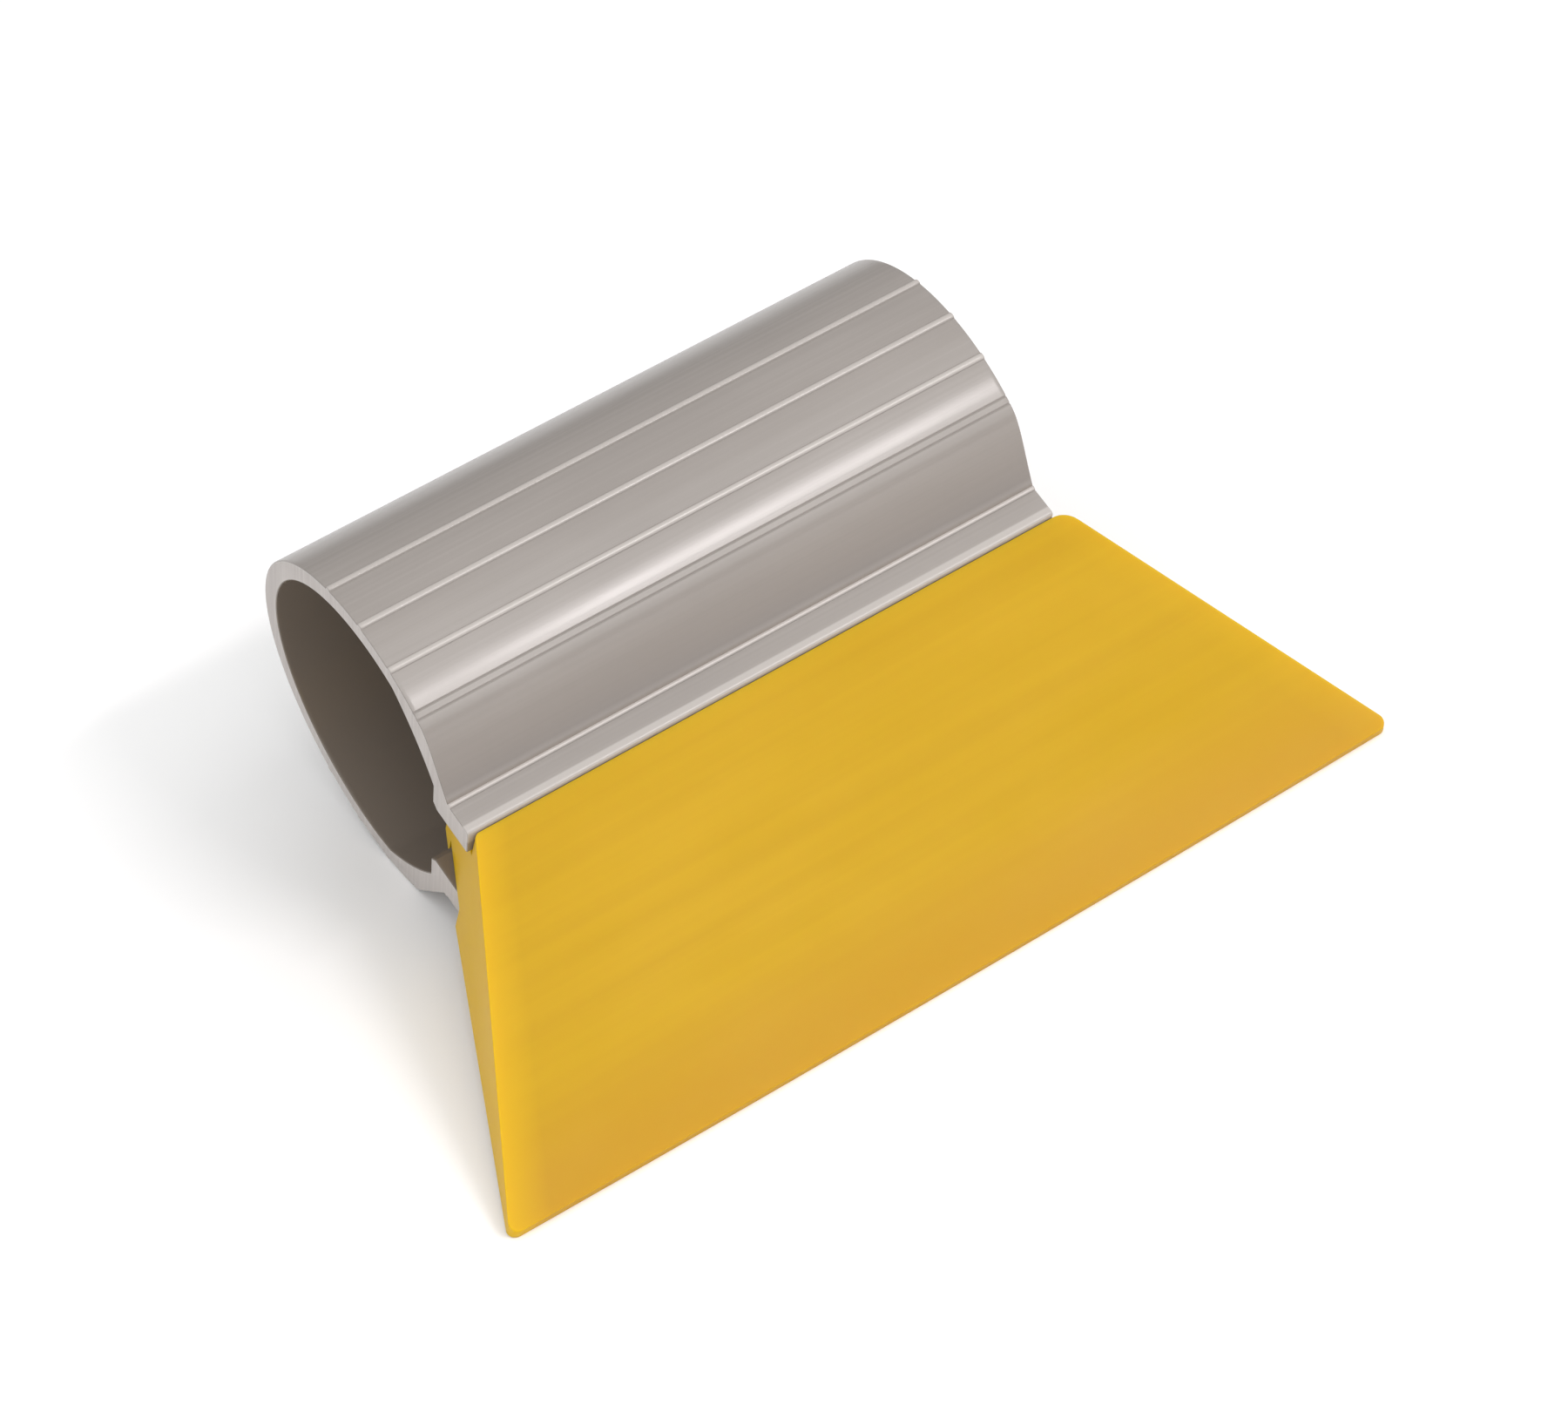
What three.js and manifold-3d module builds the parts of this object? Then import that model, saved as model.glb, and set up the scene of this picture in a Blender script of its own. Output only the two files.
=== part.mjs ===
// Squeegee applicator: a tube-grip handle that holds a soft wedge-shaped blade in its jaws.
//
// Everything is drawn in the tool's own frame first: the tube's axis is X, the blade points along -Y
// and its front face looks up, +Z. The finished tool is then laid down on its back, so that the tube
// and the blade's working edge both touch the ground, Z = 0.
import * as THREE from "three";
import { mergeVertices } from "three/addons/utils/BufferGeometryUtils.js";
import Module from "manifold-3d";

const wasm = await Module();
wasm.setup();

// ---------------------------------------------------------------- driving dimensions (mm, degrees)
// "Reach" is a distance from the tube's axis towards the blade's working edge.

const handle = {
  length: 92.4,
  tubeRadius: 26.0,
  tubeWall: 2.9,
  flankStart: 60.9, // angle from the blade's direction at which the round tube turns into a flank
  flankBulge: 0.3, // how far the flank's middle stands proud of a flat one
  boreEnd: 75, // angle at which the round bore turns towards the top of the jaw
  boreBulge: 0.7,
  lipReach: 24.4,
  lipHeight: 4.6, // along the reach, from the lip's end to its corner with the flank
  lipOverhang: 0.8, // how far each lip stands proud of the blade's shoulder
  lipRound: 0.7,
  jawThickness: 5.3,
  jawHeight: 8.3, // along the reach, from the lip's end to the top of the jaw
  jawChamfer: 1.0,
};

// Ribs and grooves run along the tube, at angles above the flank's start.
const rib = { angles: [17.6, 33.5, 50.9], width: 1.1, height: 0.4 };
const groove = { angles: [1.5, 3.9], width: 0.5, depth: 0.3 };
const bead = { radius: 0.45 }; // a fine round bead in the corner between flank and lip

const blade = {
  tipWidth: 140.0, // over the sharp corners, before they are rounded
  tipReach: 70.6,
  tipThickness: 1.8,
  halfAngle: 13.2, // of the wedge, between its middle plane and either face
  flareAngle: 26.3, // of the angled ends, measured on the front face
  headOverhang: 2.8, // how far the root's head stands out over each jaw
  headHeight: 3.1,
  tipCornerRound: 1.8,
  offset: 1.5, // how far along the channel the blade sits from the handle's middle
};

const slideGap = 0.3; // clearance all round between the blade's root and the jaws
const arcStep = 5; // degrees per facet on the tube

const colours = { handle: 0xa8a49f, blade: 0xe0b02c };

// ---------------------------------------------------------------- sizes that follow from them

const rad = THREE.MathUtils.degToRad;
const deg = THREE.MathUtils.radToDeg;
const tipRadius = blade.tipThickness / 2;
const shoulderReach = handle.lipReach + slideGap;
const lipHalf = wedgeHalf(shoulderReach) + handle.lipOverhang;
const neckReach = handle.lipReach - handle.lipHeight;
const jawTopReach = handle.lipReach - handle.jawHeight;
const mouthHalf = lipHalf - handle.jawThickness;
const tubeBore = handle.tubeRadius - handle.tubeWall;
const rootNeckHalf = mouthHalf - slideGap;
const headReach = jawTopReach - slideGap;
const headHalf = rootNeckHalf + blade.headOverhang;

// Lying down, the tube and the rounded working edge rest on one plane.
const restAngle = Math.asin((handle.tubeRadius - tipRadius) / (blade.tipReach - tipRadius));

// ---------------------------------------------------------------- helpers

// A point of the section at an angle from the blade's direction, positive towards the front face.
function polar(radius, angle) {
  return new THREE.Vector2(-radius * Math.cos(rad(angle)), radius * Math.sin(rad(angle)));
}

function mirrored(points) {
  return points.map((point) => new THREE.Vector2(point.x, -point.y)).reverse();
}

// Points of an arc round a centre, from one angle to another (degrees, anticlockwise positive).
function arc(centre, radius, from, to, steps) {
  return Array.from({ length: steps + 1 }, (_, i) => {
    const angle = rad(from + ((to - from) * i) / steps);
    return new THREE.Vector2(
      centre.x + radius * Math.cos(angle),
      centre.y + radius * Math.sin(angle),
    );
  });
}

// A line that stands proud of the straight one between two points, on the side away from the axis.
function bulged(from, to, bulge, steps) {
  const across = new THREE.Vector2(from.y - to.y, to.x - from.x).normalize();
  if (across.dot(from) < 0) {
    across.negate();
  }
  return Array.from({ length: steps + 1 }, (_, i) => {
    const along = i / steps;
    return from.clone().lerp(to, along).addScaledVector(across, 4 * bulge * along * (1 - along));
  });
}

// A section drawn in the Y-Z plane, drawn out along X and centred on X = 0.
function extrudeAlongX(outline, length) {
  const geometry = new THREE.ExtrudeGeometry(new THREE.Shape(outline), {
    depth: length,
    bevelEnabled: false,
  });
  geometry.translate(0, 0, -length / 2);
  geometry.rotateX(Math.PI / 2);
  geometry.rotateZ(Math.PI / 2);
  return geometry;
}

function toSolid(geometry) {
  const bare = geometry.clone();
  bare.deleteAttribute("normal");
  bare.deleteAttribute("uv");
  const merged = mergeVertices(bare, 1e-4);
  return new wasm.Manifold(
    new wasm.Mesh({
      numProp: 3,
      vertProperties: new Float32Array(merged.attributes.position.array),
      triVerts: new Uint32Array(merged.index.array),
    }),
  );
}

function toGeometry(solid) {
  const mesh = solid.getMesh();
  const geometry = new THREE.BufferGeometry();
  geometry.setAttribute("position", new THREE.BufferAttribute(mesh.vertProperties, 3));
  geometry.setIndex(new THREE.BufferAttribute(mesh.triVerts, 1));
  geometry.computeVertexNormals();
  return geometry;
}

// ---------------------------------------------------------------- the handle's section

// Raised ribs and fine V-grooves on the outside of the tube.
function skinFeatures() {
  const ribs = rib.angles.flatMap((above) => {
    const angle = handle.flankStart + above;
    const half = deg(rib.width / 2 / handle.tubeRadius);
    return [
      polar(handle.tubeRadius, angle - half),
      polar(handle.tubeRadius + 0.8 * rib.height, angle - 0.5 * half),
      polar(handle.tubeRadius + rib.height, angle),
      polar(handle.tubeRadius + 0.8 * rib.height, angle + 0.5 * half),
      polar(handle.tubeRadius, angle + half),
    ];
  });
  const grooves = groove.angles.flatMap((above) => {
    const angle = handle.flankStart + above;
    const half = deg(groove.width / 2 / handle.tubeRadius);
    return [
      polar(handle.tubeRadius, angle - half),
      polar(handle.tubeRadius - groove.depth, angle),
      polar(handle.tubeRadius, angle + half),
    ];
  });
  return [...ribs, ...grooves];
}

// The outside from the flank's start to the top of the tube, with its features merged in.
function outerArc() {
  const features = skinFeatures();
  const angleOf = (point) => deg(Math.atan2(point.y, -point.x));
  const plain = [];
  for (let angle = handle.flankStart + arcStep; angle <= 180; angle += arcStep) {
    const point = polar(handle.tubeRadius, angle);
    if (features.every((feature) => feature.distanceTo(point) > rib.width)) {
      plain.push(point);
    }
  }
  return [...plain, ...features].sort((a, b) => angleOf(a) - angleOf(b));
}

// The front half of the section, from the mouth round the outside to the top of the tube.
function outerHalf() {
  const lipCorner = new THREE.Vector2(
    -handle.lipReach + handle.lipRound,
    lipHalf - handle.lipRound,
  );
  const neck = new THREE.Vector2(-neckReach, lipHalf);
  return [
    new THREE.Vector2(-handle.lipReach, mouthHalf),
    ...arc(lipCorner, handle.lipRound, 180, 90, 4),
    ...arc(neck, bead.radius, 180, 45, 5),
    ...bulged(neck, polar(handle.tubeRadius, handle.flankStart), handle.flankBulge, 5).slice(1),
    ...outerArc(),
  ];
}

// The same half from the top of the bore back to the mouth.
function innerHalf() {
  const steps = Math.ceil((180 - handle.boreEnd) / arcStep);
  const bore = Array.from({ length: steps }, (_, i) =>
    polar(tubeBore, 180 - ((180 - handle.boreEnd) * i) / steps),
  );
  const jawTop = new THREE.Vector2(-jawTopReach, lipHalf);
  return [
    ...bore,
    ...bulged(polar(tubeBore, handle.boreEnd), jawTop, handle.boreBulge, 5),
    new THREE.Vector2(-jawTopReach, mouthHalf + handle.jawChamfer),
    new THREE.Vector2(-jawTopReach - handle.jawChamfer, mouthHalf),
  ];
}

function withoutRepeats(points) {
  return points.filter((point, i) => point.distanceTo(points.at(i - 1)) > 1e-3);
}

function handleSection() {
  const outer = outerHalf();
  const inner = innerHalf();
  return withoutRepeats([...outer, ...mirrored(outer), ...mirrored(inner), ...inner]);
}

// ---------------------------------------------------------------- the blade

// Half the wedge's thickness: its faces are tangent to the rounded working edge.
function wedgeHalf(reach) {
  const towardsRoot = blade.tipReach - tipRadius - reach;
  return tipRadius / Math.cos(rad(blade.halfAngle)) + towardsRoot * Math.tan(rad(blade.halfAngle));
}

// The wedge from its rounded working edge to the shoulders under the lips, and the T-shaped root
// on it: a neck between the jaws, and a wider head above them.
function bladeSection() {
  const tipCentre = new THREE.Vector2(-blade.tipReach + tipRadius, 0);
  const half = [
    ...arc(tipCentre, tipRadius, 180, 90 + blade.halfAngle, 6),
    new THREE.Vector2(-shoulderReach, wedgeHalf(shoulderReach)),
    new THREE.Vector2(-shoulderReach, rootNeckHalf),
    new THREE.Vector2(-headReach, rootNeckHalf),
    new THREE.Vector2(-headReach, headHalf),
    new THREE.Vector2(-headReach + blade.headHeight, headHalf),
  ];
  return withoutRepeats([...half, ...mirrored(half)]);
}

// The blade's outline seen square to its front face: a trapezoid with its two tip corners rounded.
// Shape X is the tool's X, and shape Y runs up the face from the working edge.
function bladeOutline() {
  const tipHalf = blade.tipWidth / 2;
  const height = blade.tipReach;
  const tipCorner = new THREE.Vector2(tipHalf, 0);
  const farCorner = new THREE.Vector2(tipHalf - height * Math.tan(rad(blade.flareAngle)), height);
  const middle = new THREE.Vector2(0, 0);
  const right = [...roundedCorner(middle, tipCorner, farCorner, blade.tipCornerRound), farCorner];
  const left = right.map((point) => new THREE.Vector2(-point.x, point.y)).reverse();
  return [...right, ...left];
}

// A corner rounded by a quadratic curve that starts and ends the given distance from it.
function roundedCorner(before, corner, after, round) {
  const from = corner.clone().add(before.clone().sub(corner).setLength(round));
  const to = corner.clone().add(after.clone().sub(corner).setLength(round));
  return new THREE.QuadraticBezierCurve(from, corner, to).getPoints(6);
}

// ---------------------------------------------------------------- meshes

function makeHandle() {
  const material = new THREE.MeshStandardMaterial({
    color: colours.handle,
    roughness: 0.42,
    metalness: 0,
  });
  const mesh = new THREE.Mesh(extrudeAlongX(handleSection(), handle.length), material);
  mesh.name = "tube_handle";
  return mesh;
}

function makeBlade() {
  // The ends are cut square to the front face, so the cutter is drawn out through that face.
  const cutter = new THREE.ExtrudeGeometry(new THREE.Shape(bladeOutline()), {
    depth: 2 * blade.tipReach,
    bevelEnabled: false,
  });
  cutter.translate(0, 0, -blade.tipReach);
  cutter.rotateX(rad(blade.halfAngle));
  cutter.translate(0, -blade.tipReach, tipRadius);
  const bar = toSolid(extrudeAlongX(bladeSection(), blade.tipWidth + 2));

  const material = new THREE.MeshStandardMaterial({
    color: colours.blade,
    roughness: 0.5,
    metalness: 0,
  });
  const mesh = new THREE.Mesh(toGeometry(bar.intersect(toSolid(cutter))), material);
  mesh.name = "blade";
  mesh.position.x = blade.offset;
  return mesh;
}

// ---------------------------------------------------------------- assembly

const tool = new THREE.Group();
tool.add(makeHandle(), makeBlade());
tool.rotation.x = restAngle;

// The origin is on the ground, under the middle of the laid-down tool.
const squeegee = new THREE.Group();
squeegee.add(tool);
squeegee.updateMatrixWorld(true);
const bounds = new THREE.Box3().setFromObject(squeegee, true);
const middle = bounds.getCenter(new THREE.Vector3());
tool.position.set(-middle.x, -middle.y, -bounds.min.z);

export default squeegee;
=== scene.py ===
"""A tube-grip squeegee: a satin plastic handle holding a soft amber blade, lying on a pale floor.

Lengths are in metres. The "tool frame" has its origin on the tube's axis at mid-length: X runs along
the tube, -Y points at the blade's working edge and +Z at the tool's front. A "reach" is a distance
from the tube's axis towards the working edge.
"""

import math

import bmesh
import bpy
from mathutils import Matrix, Vector


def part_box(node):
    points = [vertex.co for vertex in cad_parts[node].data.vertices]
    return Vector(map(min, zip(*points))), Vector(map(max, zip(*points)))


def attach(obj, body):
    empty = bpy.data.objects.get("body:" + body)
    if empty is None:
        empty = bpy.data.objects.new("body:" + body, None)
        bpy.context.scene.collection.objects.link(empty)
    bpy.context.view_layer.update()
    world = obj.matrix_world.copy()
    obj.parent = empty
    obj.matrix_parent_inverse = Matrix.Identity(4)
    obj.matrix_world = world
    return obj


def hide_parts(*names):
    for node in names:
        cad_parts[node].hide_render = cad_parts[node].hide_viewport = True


MM = 0.001

# ---------------------------------------------------------------- sizes of the section
TUBE_RADIUS = 26.0 * MM
TUBE_WALL = 2.9 * MM
FLANK_START = math.radians(60.9)
FRONT_FLANK_BLEND = 2.8 * MM  # how far the flank runs on along the tube's tangent
BACK_FLANK_BLEND = 1.0 * MM
BORE_END = math.radians(75)
BORE_BULGE = 0.7 * MM
LIP_REACH = 24.4 * MM
LIP_HEIGHT = 4.6 * MM
LIP_OVERHANG = 0.8 * MM
LIP_ROUND = 0.45 * MM
JAW_THICKNESS = 5.3 * MM
JAW_HEIGHT = 8.3 * MM
JAW_CHAMFER = 1.0 * MM
JAW_ROUND = 0.4 * MM
MOUTH_ROUND = 0.35 * MM
BEAD_RADIUS = 0.4 * MM
RIB_ANGLES = [FLANK_START + math.radians(above) for above in (17.6, 33.5, 50.9)]
RIB_WIDTH = 1.1 * MM
RIB_HEIGHT = 0.4 * MM
GROOVE_ANGLES = [FLANK_START + math.radians(above) for above in (1.5, 3.9)]
GROOVE_WIDTH = 0.4 * MM
GROOVE_DEPTH = 0.15 * MM
FEATURE_MARGIN = 0.2 * MM  # kept free of other points on either side of a rib or groove
SAWN_ROUND = 0.15 * MM

TIP_WIDTH = 140.0 * MM
TIP_REACH = 70.6 * MM
TIP_THICKNESS = 1.8 * MM
TIP_BOW = 0.5 * MM
BOW_STEPS = 20
TIP_CORNER_ROUND = 1.2 * MM
RIGHT_SHOULDER_ROUND = 3.4 * MM
LEFT_SHOULDER_ROUND = 0.9 * MM
WEDGE_ANGLE = math.radians(13.2)
FLARE_ANGLE = math.radians(26.3)
BLADE_EDGE_ROUND = 0.45 * MM
HEAD_OVERHANG = 2.8 * MM
HEAD_HEIGHT = 3.1 * MM
SLIDE_GAP = 0.3 * MM
SQUEEZED_GAP = 0.14 * MM  # the soft shoulder sits closer to the lip than the rest of its root

TIP_RADIUS = TIP_THICKNESS / 2
SHOULDER_REACH = LIP_REACH + SQUEEZED_GAP
SHOULDER_HALF = (
    TIP_RADIUS / math.cos(WEDGE_ANGLE)
    + (TIP_REACH - TIP_RADIUS - SHOULDER_REACH) * math.tan(WEDGE_ANGLE)
)
LIP_HALF = SHOULDER_HALF + LIP_OVERHANG
NECK_REACH = LIP_REACH - LIP_HEIGHT
JAW_TOP_REACH = LIP_REACH - JAW_HEIGHT
MOUTH_HALF = LIP_HALF - JAW_THICKNESS
BORE_RADIUS = TUBE_RADIUS - TUBE_WALL
HEAD_REACH = JAW_TOP_REACH - SLIDE_GAP
NECK_HALF = MOUTH_HALF - SLIDE_GAP
HEAD_HALF = NECK_HALF + HEAD_OVERHANG
REST_TILT = math.asin((TUBE_RADIUS - TIP_RADIUS) / (TIP_REACH - TIP_RADIUS))

# ---------------------------------------------------------------- drawing and shading
TUBE_STEPS = 110
BORE_STEPS = 72
FLANK_STEPS = 24
SLOPE_STEPS = 14
BEAD_STEPS = 8
CORNER_STEPS = 8
SHARP_ANGLE = 35  # degrees between faces that meet at a visible edge

# ---------------------------------------------------------------- picture
CAMERA_OFFSET = Vector((-0.2011, -0.4298, 0.4130))  # from the middle of the tube
CAMERA_YAW = math.radians(26.68)
CAMERA_PITCH = math.radians(42.91)
CAMERA_ROLL = math.radians(-10.04)
CAMERA_LENS = 107.05


# ================================================================ plane geometry

def polar(radius, angle):
    """A point of the section at an angle from the blade's direction, positive to the front."""
    return Vector((-radius * math.cos(angle), radius * math.sin(angle)))


def filleted(points, radii, steps=5):
    """An open line of points with its inner corners rounded; a radius of 0 keeps a corner."""
    line = [points[0]]
    for before, corner, after, radius in zip(points, points[1:], points[2:], radii):
        if radius == 0:
            line.append(corner)
            continue
        to_before = (before - corner).normalized()
        to_after = (after - corner).normalized()
        half_angle = to_before.angle(to_after) / 2
        start = corner + to_before * radius / math.tan(half_angle)
        centre = corner + (to_before + to_after).normalized() * radius / math.sin(half_angle)
        sweep = math.pi - 2 * half_angle
        side = 1 if to_before.x * to_after.y - to_before.y * to_after.x < 0 else -1
        for step in range(steps + 1):
            turn = Matrix.Rotation(side * sweep * step / steps, 2)
            line.append(centre + turn @ (start - centre))
    line.append(points[-1])
    return line


def bulged(start, end, bulge, steps):
    """A line that stands proud of the straight one, on the side away from the tube's axis."""
    across = Vector((start.y - end.y, end.x - start.x)).normalized()
    if across.dot(start) < 0:
        across.negate()
    places = [step / steps for step in range(steps + 1)]
    return [start.lerp(end, at) + across * 4 * bulge * at * (1 - at) for at in places]


def flank_line(blend):
    """The flank's outer line from the neck to the tube, which it joins along the tube's tangent."""
    neck = Vector((-NECK_REACH, LIP_HALF))
    start = polar(TUBE_RADIUS, FLANK_START)
    tangent = Vector((-math.sin(FLANK_START), -math.cos(FLANK_START)))
    first, second = start + tangent * blend, neck.lerp(start, 0.4)
    line = []
    for step in range(FLANK_STEPS + 1):
        at = step / FLANK_STEPS
        line.append(
            neck * (1 - at) ** 3
            + second * 3 * at * (1 - at) ** 2
            + first * 3 * at ** 2 * (1 - at)
            + start * at ** 3
        )
    return line


def mirrored(points):
    return [Vector((point.x, -point.y)) for point in reversed(points)]


def without_repeats(points, least=1e-6):
    return [point for i, point in enumerate(points) if (point - points[i - 1]).length > least]


# ================================================================ the handle

def skin_height(angle):
    """How far the tube's outside stands above its plain radius at an angle."""
    height = 0.0
    for at in RIB_ANGLES:
        across = abs(angle - at) * TUBE_RADIUS / (RIB_WIDTH / 2)
        if across < 1:
            height += RIB_HEIGHT * math.sqrt(1 - across ** 2)
    for at in GROOVE_ANGLES:
        across = abs(angle - at) * TUBE_RADIUS / (GROOVE_WIDTH / 2)
        if across < 1:
            height -= GROOVE_DEPTH * (1 - across)
    return height


def skin_angles(start):
    """Angles from the flank's start to the top of the tube, closer together on its features."""
    angles = {start, math.pi}
    angles.update(start + (math.pi - start) * step / TUBE_STEPS for step in range(TUBE_STEPS))
    for at, width, steps in (
        [(at, RIB_WIDTH, 12) for at in RIB_ANGLES]
        + [(at, GROOVE_WIDTH, 4) for at in GROOVE_ANGLES]
    ):
        half = width / 2 / TUBE_RADIUS
        clear = half + FEATURE_MARGIN / TUBE_RADIUS
        angles = {angle for angle in angles if abs(angle - at) > clear}
        angles.update(at + half * (2 * i / steps - 1) for i in range(steps + 1))
    return sorted(angles)


def handle_half(flank_blend):
    """Half of the section: round the outside to the top of the tube, then back inside."""
    neck = Vector((-NECK_REACH, LIP_HALF))
    lip = [
        Vector((-JAW_TOP_REACH - JAW_CHAMFER, MOUTH_HALF)),
        Vector((-LIP_REACH, MOUTH_HALF)),
        Vector((-LIP_REACH, LIP_HALF)),
        neck + Vector((-BEAD_RADIUS, 0)),
    ]
    outside = filleted(lip, [MOUTH_ROUND, LIP_ROUND])
    for step in range(BEAD_STEPS + 1):
        turn = math.radians(180 - 135 * step / BEAD_STEPS)
        outside.append(neck + BEAD_RADIUS * Vector((math.cos(turn), math.sin(turn))))

    # The flank's first two points lie inside the bead.
    outside += flank_line(flank_blend)[2:]
    outside += [
        polar(TUBE_RADIUS + skin_height(angle), angle)
        for angle in skin_angles(FLANK_START)[1:]
    ]

    inside = [
        polar(BORE_RADIUS, math.pi - (math.pi - BORE_END) * step / BORE_STEPS)
        for step in range(BORE_STEPS)
    ]
    jaw_top = Vector((-JAW_TOP_REACH, LIP_HALF))
    slope = bulged(polar(BORE_RADIUS, BORE_END), jaw_top, BORE_BULGE, SLOPE_STEPS)
    jaw = [
        slope[-2],
        jaw_top,
        Vector((-JAW_TOP_REACH, MOUTH_HALF + JAW_CHAMFER)),
        Vector((-JAW_TOP_REACH - JAW_CHAMFER, MOUTH_HALF)),
    ]
    inside += slope[:-2] + filleted(jaw, [JAW_ROUND, JAW_ROUND])
    return outside, inside


def outline_normals(outline):
    """The outward normal at each point of a closed line that runs clockwise round its inside."""
    normals = []
    for i, point in enumerate(outline):
        after = outline[(i + 1) % len(outline)] - point
        before = point - outline[i - 1]
        along = (after.normalized() + before.normalized()).normalized()
        normals.append(Vector((-along.y, along.x)))
    return normals


def make_handle(material_skin, material_sawn, half_length):
    front_outside, inside = handle_half(FRONT_FLANK_BLEND)
    back_outside, _ = handle_half(BACK_FLANK_BLEND)
    outline = without_repeats(
        front_outside + mirrored(back_outside) + mirrored(inside) + inside
    )
    normals = outline_normals(outline)

    # Each sawn end is eased by a small round, drawn as insets of the section.
    eased = [math.radians(angle) for angle in (0, 30, 60, 90)]
    stations = [
        (half_length - SAWN_ROUND * (1 - math.sin(angle)), SAWN_ROUND * (1 - math.cos(angle)))
        for angle in eased
    ]
    stations.insert(0, (half_length - 4 * SAWN_ROUND, 0.0))
    stations = [(-x, inset) for x, inset in reversed(stations)] + stations

    mesh = bmesh.new()
    rings = []
    for x, inset in stations:
        section = [point - normal * inset for point, normal in zip(outline, normals)]
        rings.append([mesh.verts.new((x, point.x, point.y)) for point in section])
    for ring, following in zip(rings, rings[1:]):
        for i in range(len(outline)):
            face = mesh.faces.new((ring[i - 1], ring[i], following[i], following[i - 1]))
            face.smooth = True
    for ring in (rings[0], list(reversed(rings[-1]))):
        face = mesh.faces.new(ring)
        face.material_index = 1
    bmesh.ops.recalc_face_normals(mesh, faces=mesh.faces)
    return finished("handle_extrusion", mesh, [material_skin, material_sawn])


# ================================================================ the blade

def wedge_half(reach):
    """Half the wedge's thickness: its faces are tangent to the rounded working edge."""
    return SHOULDER_HALF + (SHOULDER_REACH - reach) * math.tan(WEDGE_ANGLE)


def width_half(reach, height):
    """Half the blade's width: its ends are cut square to the front face and flare to the tip."""
    up_the_face = (TIP_REACH - reach) * math.cos(WEDGE_ANGLE)
    up_the_face += (height - TIP_RADIUS) * math.sin(WEDGE_ANGLE)
    return TIP_WIDTH / 2 - up_the_face * math.tan(FLARE_ANGLE)


def end_corner(reach, height):
    """A point of the blade's +X end as X and reach."""
    return Vector((width_half(reach, height), reach))


def shoulder_arc(radius, height_at):
    """A rounded shoulder corner at +X, from the end to the ledge, at a height for each reach."""
    corner = end_corner(SHOULDER_REACH, height_at(SHOULDER_REACH))
    below = end_corner(TIP_REACH, height_at(TIP_REACH))
    arc = filleted([below, corner, Vector((0, SHOULDER_REACH))], [radius], CORNER_STEPS)
    return [Vector((point.x, -point.y, height_at(point.y))) for point in arc[1:-1]]


def tip_half(side):
    """The +X half of the working edge on the front face (side 1) or back face (side -1).

    The edge bows a little towards the tip at its middle, and turns round the tip corner.
    """
    tip = end_corner(TIP_REACH, side * wedge_half(TIP_REACH))
    shoulder = end_corner(SHOULDER_REACH, side * SHOULDER_HALF)
    edge = []
    for step in range(BOW_STEPS + 1):
        along = step / BOW_STEPS
        edge.append(Vector((tip.x * along, tip.y - TIP_BOW * along ** 2)))
    rounded = filleted([edge[-2], edge[-1], shoulder], [TIP_CORNER_ROUND], CORNER_STEPS)
    half = edge[:-2] + rounded[:-1]
    return [Vector((point.x, -point.y, side * wedge_half(point.y))) for point in half]


def head_half():
    """The front half of the T-shaped root's section, from the jaw's top to the head's top."""
    return [
        Vector((-HEAD_REACH, NECK_HALF)),
        Vector((-HEAD_REACH, HEAD_HALF)),
        Vector((-HEAD_REACH + HEAD_HEIGHT, HEAD_HALF)),
    ]


def edge_softness(reach):
    """The radius of an edge: full along the working edge, easing to a fine round on the ends."""
    ease = min(max((TIP_REACH - reach) / (2 * TIP_CORNER_ROUND), 0), 1)
    return 0.95 * TIP_RADIUS * (1 - ease) + BLADE_EDGE_ROUND * ease


def side_vertices(mesh, side):
    """The front's vertices (side 1) or the back's (side -1), at the +X end and at the -X end.

    Each end has the outline of the face from the middle of the tip, the arc where the rounded
    shoulder meets the neck, and the head.
    """
    tip = tip_half(side)
    head = [
        Vector((width_half(-point.x, side * point.y), point.x, side * point.y))
        for point in head_half()
    ]
    middle = mesh.verts.new(tip[0])
    ends = []
    for end, radius in ((1, RIGHT_SHOULDER_ROUND), (-1, LEFT_SHOULDER_ROUND)):
        shoulder = shoulder_arc(radius, lambda reach: side * wedge_half(reach))
        neck = shoulder_arc(radius, lambda reach: side * NECK_HALF)
        outline, neck_row, head_row = (
            [mesh.verts.new((end * point.x, point.y, point.z)) for point in points]
            for points in (tip[1:] + shoulder, neck, head)
        )
        ends.append(([middle] + outline, neck_row, head_row))
    return ends


def strip(mesh, first, second):
    """Four-sided faces between two rows of vertices."""
    for i in range(len(first) - 1):
        mesh.faces.new((first[i], first[i + 1], second[i + 1], second[i]))


def side_faces(mesh, right, left):
    """The faces of the front or the back: the wedge, the ledge, the neck and the head."""
    right_outline, right_neck, right_head = right
    left_outline, left_neck, left_head = left
    mesh.faces.new(right_outline + left_outline[:0:-1])
    mesh.faces.new((right_outline[-1], left_outline[-1], left_neck[-1], right_neck[-1]))
    mesh.faces.new([right_head[0], *right_neck, *reversed(left_neck), left_head[0]])
    strip(mesh, right_head, left_head)


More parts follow.
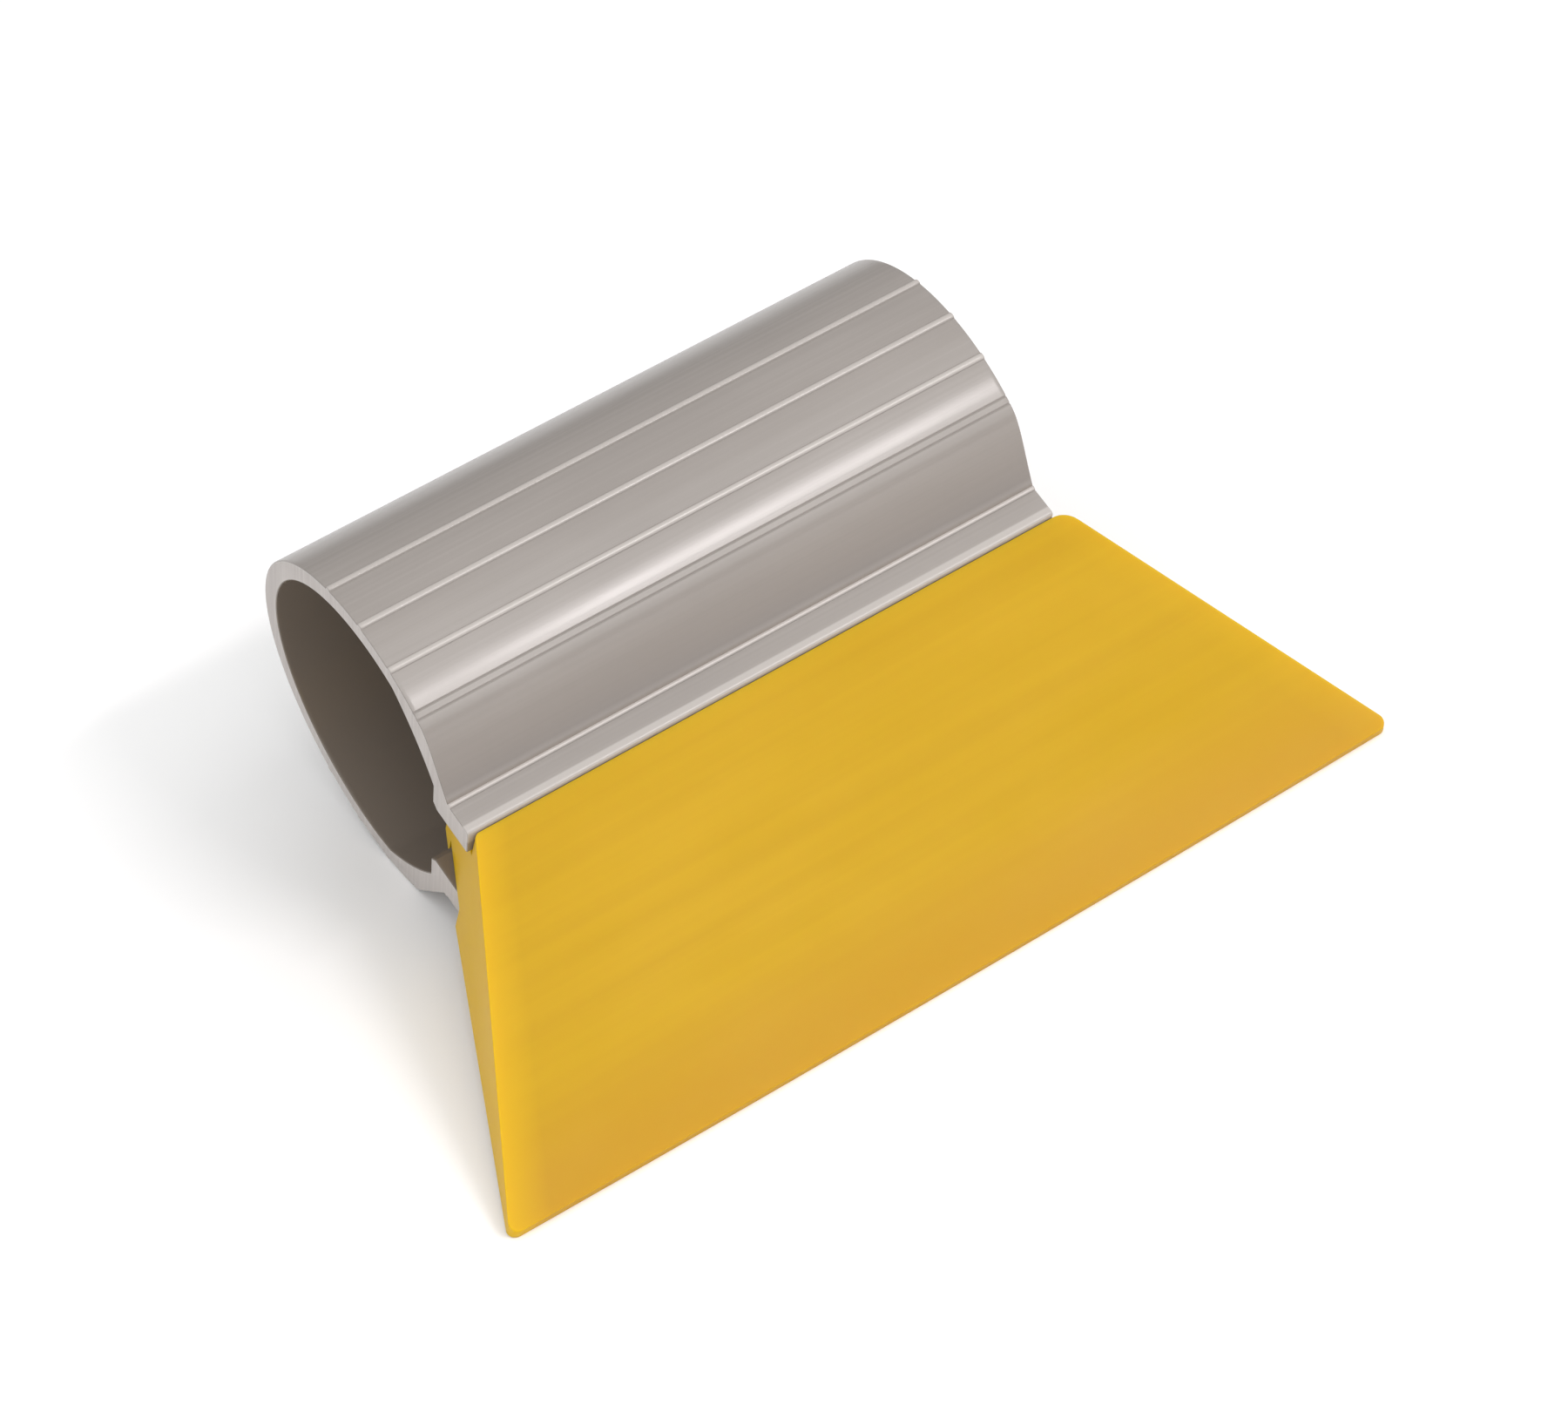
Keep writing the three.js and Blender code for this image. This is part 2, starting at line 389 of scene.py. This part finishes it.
def end_faces(mesh, front, back, tip_count):
    """The faces of one end: the working edge, the rounded shoulders and the flat end."""
    front_outline, back_outline = front[0], back[0]
    strip(mesh, front_outline[:tip_count], back_outline[:tip_count])
    flat = []
    for outline, neck, head in (front, back):
        strip(mesh, outline[tip_count:], neck)
        flat.append([outline[tip_count - 1], outline[tip_count], neck[0], *head])
    mesh.faces.new(flat[0] + flat[1][::-1])


def soften(mesh, line):
    """Weights a line of edges, so that the bevel rounds each one as its reach asks for."""
    weight = mesh.edges.layers.float["bevel_weight_edge"]
    for first, second in zip(line, line[1:]):
        reach = -(first.co.y + second.co.y) / 2
        mesh.edges.get((first, second))[weight] = edge_softness(reach) / TIP_RADIUS


def make_blade(material, offset):
    mesh = bmesh.new()
    mesh.edges.layers.float.new("bevel_weight_edge")
    front, back = side_vertices(mesh, 1), side_vertices(mesh, -1)
    for right, left in (front, back):
        side_faces(mesh, right, left)
    for front_end, back_end in zip(front, back):
        end_faces(mesh, front_end, back_end, len(tip_half(1)))
    head_tops = [head[-1] for _, _, head in (front[0], back[0], back[1], front[1])]
    mesh.faces.new(head_tops)

    for right, left in (front, back):
        soften(mesh, right[0])
        soften(mesh, left[0])
        soften(mesh, [right[0][-1], left[0][-1]])
        soften(mesh, [right[2][-1], left[2][-1]])
    bmesh.ops.recalc_face_normals(mesh, faces=mesh.faces)
    bmesh.ops.translate(mesh, verts=mesh.verts, vec=(offset, 0, 0))

    blade = finished("urethane_blade", mesh, [material])
    bevel = blade.modifiers.new("soft_edges", "BEVEL")
    bevel.limit_method = "WEIGHT"
    bevel.width = TIP_RADIUS
    bevel.segments = 4
    return blade


# ================================================================ materials

class Nodes:
    """Adds nodes to a material's tree with little writing."""

    def __init__(self, name):
        self.material = bpy.data.materials.new(name)
        self.material.use_nodes = True
        self.tree = self.material.node_tree
        self.shader = self.tree.nodes["Principled BSDF"]
        laid_down = self.add("ShaderNodeTexCoord").outputs["Object"]
        tool_frame = self.add(
            "ShaderNodeMapping",
            {"Vector": laid_down},
            {"Location": TUBE_MIDDLE, "Rotation": (REST_TILT, 0, 0)},
            vector_type="TEXTURE",
        )
        self.place = tool_frame.outputs["Vector"]

    def add(self, kind, links=None, values=None, **settings):
        node = self.tree.nodes.new(kind)
        for key, value in settings.items():
            setattr(node, key, value)
        for key, value in (values or {}).items():
            node.inputs[key].default_value = value
        for key, source in (links or {}).items():
            self.tree.links.new(source, node.inputs[key])
        return node

    def connect(self, source, socket):
        self.tree.links.new(source, self.shader.inputs[socket])

    def stretched_noise(self, scale, stretch, detail=4.0, roughness=0.55):
        """Noise in cells of 1/scale metres, drawn out by the given factors along X, Y and Z."""
        mapping = self.add(
            "ShaderNodeMapping",
            {"Vector": self.place},
            {"Scale": tuple(1 / factor for factor in stretch)},
        )
        noise = self.add(
            "ShaderNodeTexNoise",
            {"Vector": mapping.outputs["Vector"]},
            {"Scale": scale, "Detail": detail, "Roughness": roughness},
        )
        return noise.outputs["Fac"]

    def spread(self, source, low, high, to_low=0.0, to_high=1.0):
        """Maps a value from one range to another, held at the ends."""
        node = self.add(
            "ShaderNodeMapRange",
            {"Value": source},
            {"From Min": low, "From Max": high, "To Min": to_low, "To Max": to_high},
        )
        return node.outputs["Result"]

    def mixed(self, factor, first, second):
        """A mix of two colours, each given as a colour or as a socket."""
        node = self.add("ShaderNodeMix", data_type="RGBA")
        self.tree.links.new(factor, node.inputs["Factor"])
        for socket, colour in ((node.inputs[6], first), (node.inputs[7], second)):
            if isinstance(colour, tuple):
                socket.default_value = colour
            else:
                self.tree.links.new(colour, socket)
        return node.outputs[2]

    def bump(self, height, distance, strength, before=None):
        node = self.add(
            "ShaderNodeBump",
            {"Height": height},
            {"Distance": distance, "Strength": strength},
        )
        if before is not None:
            self.tree.links.new(before, node.inputs["Normal"])
        return node.outputs["Normal"]

    def split_place(self):
        return self.add("ShaderNodeSeparateXYZ", {"Vector": self.place}).outputs

    def maths(self, operation, first, second=0.0):
        """One sum, on two sockets or numbers."""
        node = self.add("ShaderNodeMath", operation=operation)
        for socket, value in zip(node.inputs, (first, second)):
            if isinstance(value, (int, float)):
                socket.default_value = value
            else:
                self.tree.links.new(value, socket)
        return node.outputs["Value"]

    def from_axis(self):
        """The distance from the tube's axis."""
        place = self.split_place()
        across = self.add("ShaderNodeCombineXYZ", {"Y": place["Y"], "Z": place["Z"]})
        return self.add(
            "ShaderNodeVectorMath", {0: across.outputs["Vector"]}, operation="LENGTH"
        ).outputs["Value"]

    def end_glow(self):
        """1 at the blade's flared ends, falling to 0 a few millimetres in from them."""
        place = self.split_place()
        from_tip = self.maths("ADD", place["Y"], TIP_REACH)
        narrowing = math.cos(WEDGE_ANGLE) * math.tan(FLARE_ANGLE)
        half = self.maths("SUBTRACT", TIP_WIDTH / 2, self.maths("MULTIPLY", from_tip, narrowing))
        from_middle = self.maths("ABSOLUTE", self.maths("SUBTRACT", place["X"], BLADE_OFFSET))
        glow = self.spread(self.maths("SUBTRACT", half, from_middle), 0, 6 * MM, 1, 0)
        left_more = self.spread(place["X"], -20 * MM, 20 * MM, 1, 0.3)
        return self.maths("MULTIPLY", glow, left_more)


def srgb(text):
    """A scene-linear colour from the usual six-digit notation."""
    def linear(value):
        return value / 12.92 if value <= 0.04045 else ((value + 0.055) / 1.055) ** 2.4

    return (*(linear(int(text[i:i + 2], 16) / 255) for i in (0, 2, 4)), 1.0)


def with_painted_light(nodes, plain):
    """The handle's colour with painted light and shade: paler on its ribs and bead as a painted
    highlight, darker by the neck and in the bore as painted shade.
    """
    radius, reach = nodes.from_axis(), nodes.maths("MULTIPLY", nodes.split_place()["Y"], -1)
    # Painted highlight: the tops of the ribs are paler, where they catch the light.
    rib_highlight = nodes.spread(radius, TUBE_RADIUS + 0.15 * MM, TUBE_RADIUS + 0.35 * MM, 0, 0.8)
    with_rib_highlight = nodes.mixed(rib_highlight, plain, srgb("B6B0AB"))
    # Painted shade: the flank darkens towards the neck, stopping short of the bead.
    neck_shade = nodes.maths(
        "MULTIPLY",
        nodes.spread(reach, 12.5 * MM, NECK_REACH, 0, 1),
        nodes.spread(reach, NECK_REACH - 1.0 * MM, NECK_REACH - BEAD_RADIUS, 1, 0),
    )
    with_neck_shade = nodes.mixed(neck_shade, with_rib_highlight, srgb("837C77"))
    # Painted highlight: a pale line along the bead at the neck.
    from_neck = nodes.maths("ABSOLUTE", nodes.maths("SUBTRACT", reach, NECK_REACH))
    bead_highlight = nodes.spread(from_neck, 0.25 * MM, BEAD_RADIUS, 0.9, 0)
    skin = nodes.mixed(bead_highlight, with_neck_shade, srgb("B9B2AD"))
    # Painted shade: the bore is darker inside.
    limit = BORE_RADIUS + 0.1 * MM
    painted_bore_shade = nodes.spread(radius, limit, limit + 0.1 * MM, 1, 0)
    return nodes.mixed(painted_bore_shade, skin, srgb("7E746A"))


def handle_skin_material():
    """Glossy extruded plastic with die lines along it."""
    nodes = Nodes("handle_skin")
    clouds = nodes.stretched_noise(60, (3, 1, 1))
    die_lines = nodes.stretched_noise(1800, (400, 1, 1), detail=2.0)
    grain = nodes.stretched_noise(4000, (2, 1, 1), detail=2.0)
    base = nodes.mixed(nodes.spread(clouds, 0.35, 0.65), srgb("938D88"), srgb("9A948F"))
    lined = nodes.mixed(nodes.spread(die_lines, 0.3, 0.7, 0, 0.35), base, srgb("8A847F"))
    # The base colour holds painted highlights on the ribs and bead and painted shade by the neck and
    # in the bore.
    nodes.connect(with_painted_light(nodes, lined), "Base Color")
    nodes.connect(nodes.spread(clouds, 0.3, 0.7, 0.21, 0.27), "Roughness")
    lines = nodes.bump(die_lines, 0.00002, 0.25)
    nodes.connect(nodes.bump(grain, 0.00001, 0.2, before=lines), "Normal")
    nodes.shader.inputs["Specular IOR Level"].default_value = 0.4
    return nodes.material


def handle_sawn_material():
    """The sawn ends: the same plastic, paler and duller, with straight saw marks."""
    nodes = Nodes("handle_sawn")
    marks = nodes.stretched_noise(2500, (1, 1, 60), detail=3.0)
    base = nodes.mixed(nodes.spread(marks, 0.3, 0.7), srgb("B2ABA7"), srgb("C2BCB8"))
    nodes.connect(base, "Base Color")
    nodes.connect(nodes.spread(marks, 0.3, 0.7, 0.55, 0.7), "Roughness")
    nodes.connect(nodes.bump(marks, 0.00005, 0.5), "Normal")
    return nodes.material


def blade_material():
    """Cast urethane: satin, a little see-through, tan where it is thin, glowing at its ends."""
    nodes = Nodes("blade_urethane")
    shader = nodes.shader
    place = nodes.split_place()
    streaks = nodes.stretched_noise(420, (60, 1, 1), detail=3.0)
    clouds = nodes.stretched_noise(50, (2, 1, 1))
    grain = nodes.stretched_noise(3000, (1.5, 1, 1), detail=2.0)
    body = nodes.mixed(nodes.spread(clouds, 0.35, 0.65), srgb("C29900"), srgb("BE9603"))
    streaked = nodes.mixed(nodes.spread(streaks, 0.35, 0.7, 0, 0.3), body, srgb("B28800"))
    thin = nodes.spread(place["Y"], -TIP_REACH + 4 * MM, -TIP_REACH + 15 * MM, 1, 0)
    tanned = nodes.mixed(thin, streaked, srgb("BC8E14"))

    # Light comes out of the ends again, so the faces are brighter within a few millimetres of them.
    nodes.connect(nodes.mixed(nodes.end_glow(), tanned, srgb("D2A602")), "Base Color")
    nodes.connect(nodes.spread(clouds, 0.3, 0.7, 0.42, 0.52), "Roughness")
    shader.inputs["Specular IOR Level"].default_value = 0.18
    shader.inputs["Subsurface Weight"].default_value = 0.35
    shader.inputs["Subsurface Radius"].default_value = (1.0, 0.6, 0.15)
    shader.inputs["Subsurface Scale"].default_value = 0.004
    lines = nodes.bump(streaks, 0.00003, 0.2)
    nodes.connect(nodes.bump(grain, 0.00001, 0.2, before=lines), "Normal")
    return nodes.material


def floor_material():
    nodes = Nodes("floor_pale")
    clouds = nodes.stretched_noise(6, (1, 1, 1))
    tone = nodes.mixed(clouds, srgb("FBFBFB"), srgb("FDFDFD"))
    nodes.connect(tone, "Base Color")
    nodes.shader.inputs["Roughness"].default_value = 0.9
    return nodes.material


# ================================================================ placing

def finished(name, mesh, materials):
    """Makes an object from mesh code: the tool is laid down as the CAD lies, in its mesh."""
    bmesh.ops.transform(mesh, matrix=LAID_DOWN, verts=mesh.verts)
    data = bpy.data.meshes.new(name)
    mesh.to_mesh(data)
    mesh.free()
    for material in materials:
        data.materials.append(material)
    piece = bpy.data.objects.new(name, data)
    bpy.context.scene.collection.objects.link(piece)
    return piece


def smooth_by_angle(piece, degrees):
    """Shades the final mesh smooth, with sharp edges where its faces meet at more than an angle."""
    evaluated = piece.evaluated_get(bpy.context.evaluated_depsgraph_get())
    data = bpy.data.meshes.new_from_object(evaluated)
    piece.modifiers.clear()
    piece.data = data
    data.shade_smooth()
    data.set_sharp_from_angle(angle=math.radians(degrees))


def weighted_normals(piece):
    modifier = piece.modifiers.new("flat_faces_stay_flat", "WEIGHTED_NORMAL")
    modifier.keep_sharp = True
    modifier.weight = 100


def add_floor():
    mesh = bmesh.new()
    bmesh.ops.create_grid(mesh, x_segments=1, y_segments=1, size=3.0)
    data = bpy.data.meshes.new("floor")
    mesh.to_mesh(data)
    mesh.free()
    floor = bpy.data.objects.new("floor", data)
    bpy.context.scene.collection.objects.link(floor)
    floor.data.materials.append(floor_material())


def add_camera():
    camera = bpy.data.objects.new("camera", bpy.data.cameras.new("camera"))
    bpy.context.scene.collection.objects.link(camera)
    camera.data.sensor_width = 36
    camera.data.lens = CAMERA_LENS
    camera.data.clip_start = 0.01
    turn = Matrix.Rotation(-CAMERA_YAW, 4, "Z")
    turn = turn @ Matrix.Rotation(math.pi / 2 - CAMERA_PITCH, 4, "X")
    turn = turn @ Matrix.Rotation(CAMERA_ROLL, 4, "Z")
    camera.matrix_world = Matrix.Translation(TUBE_MIDDLE + CAMERA_OFFSET) @ turn
    bpy.context.scene.camera = camera


def add_area_light(name, direction, distance, size, power, roll=0.0, colour=(1, 1, 1)):
    """A soft light of a width and a height, aimed at the tube from a direction.

    Its width lies level along X, apart from its roll in degrees.
    """
    light = bpy.data.objects.new(name, bpy.data.lights.new(name, "AREA"))
    bpy.context.scene.collection.objects.link(light)
    light.data.shape = "RECTANGLE"
    light.data.size, light.data.size_y = size
    light.data.energy = power
    light.data.color = colour
    away = Vector(direction).normalized()
    upward = away.cross(Vector((1, 0, 0))).normalized()
    sideways = upward.cross(away)
    turn = Matrix((sideways, upward, away)).transposed().to_4x4()
    turn = turn @ Matrix.Rotation(math.radians(roll), 4, "Z")
    light.matrix_world = Matrix.Translation(TUBE_MIDDLE + away * distance) @ turn


def add_sky():
    """A white studio dome, bright overhead and dim towards the horizon."""
    world = bpy.data.worlds.new("studio")
    bpy.context.scene.world = world
    world.use_nodes = True
    nodes, links = world.node_tree.nodes, world.node_tree.links
    direction = nodes.new("ShaderNodeTexCoord").outputs["Generated"]
    split = nodes.new("ShaderNodeSeparateXYZ")
    links.new(direction, split.inputs["Vector"])
    height = nodes.new("ShaderNodeMapRange")
    height.inputs["From Min"].default_value = 0.0
    height.inputs["From Max"].default_value = 1.0
    height.inputs["To Min"].default_value = 0.2
    height.inputs["To Max"].default_value = 0.9
    links.new(split.outputs["Z"], height.inputs["Value"])
    background = nodes["Background"]
    background.inputs["Color"].default_value = (1, 1, 1, 1)
    links.new(height.outputs["Result"], background.inputs["Strength"])


def add_lights():
    add_area_light(
        "strip", (0.32, -0.61, 0.73), 1.0, (0.28, 0.06), 2.5, roll=14, colour=(1, 0.95, 0.95)
    )
    add_area_light("key", (0.25, -0.60, 0.75), 1.3, (1.6, 1.6), 9.5)
    add_area_light("left_fill", (-1.0, -0.35, 0.45), 1.4, (1.2, 1.2), 5.0)
    add_sky()
    bpy.context.scene.view_settings.view_transform = "Standard"


# ================================================================ the scene

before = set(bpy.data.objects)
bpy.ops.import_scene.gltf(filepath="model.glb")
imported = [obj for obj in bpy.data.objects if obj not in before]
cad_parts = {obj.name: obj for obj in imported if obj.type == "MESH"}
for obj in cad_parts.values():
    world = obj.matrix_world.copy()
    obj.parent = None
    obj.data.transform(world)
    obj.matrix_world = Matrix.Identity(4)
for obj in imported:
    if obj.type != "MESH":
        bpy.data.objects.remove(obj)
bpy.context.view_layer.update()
handle_low, handle_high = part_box("tube_handle")
blade_low, blade_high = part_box("blade")

HALF_LENGTH = (handle_high.x - handle_low.x) / 2
TUBE_MIDDLE = Vector((
    (handle_low.x + handle_high.x) / 2,
    handle_high.y - TUBE_RADIUS,
    handle_high.z - TUBE_RADIUS - RIB_HEIGHT,
))
BLADE_OFFSET = (blade_low.x + blade_high.x) / 2 - TUBE_MIDDLE.x
LAID_DOWN = Matrix.Translation(TUBE_MIDDLE) @ Matrix.Rotation(REST_TILT, 4, "X")

add_camera()

handle = make_handle(handle_skin_material(), handle_sawn_material(), HALF_LENGTH)
smooth_by_angle(handle, SHARP_ANGLE)
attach(handle, "handle")
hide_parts("tube_handle")

blade = make_blade(blade_material(), BLADE_OFFSET)
smooth_by_angle(blade, SHARP_ANGLE)
weighted_normals(blade)
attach(blade, "blade")
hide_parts("blade")

add_floor()
add_lights()
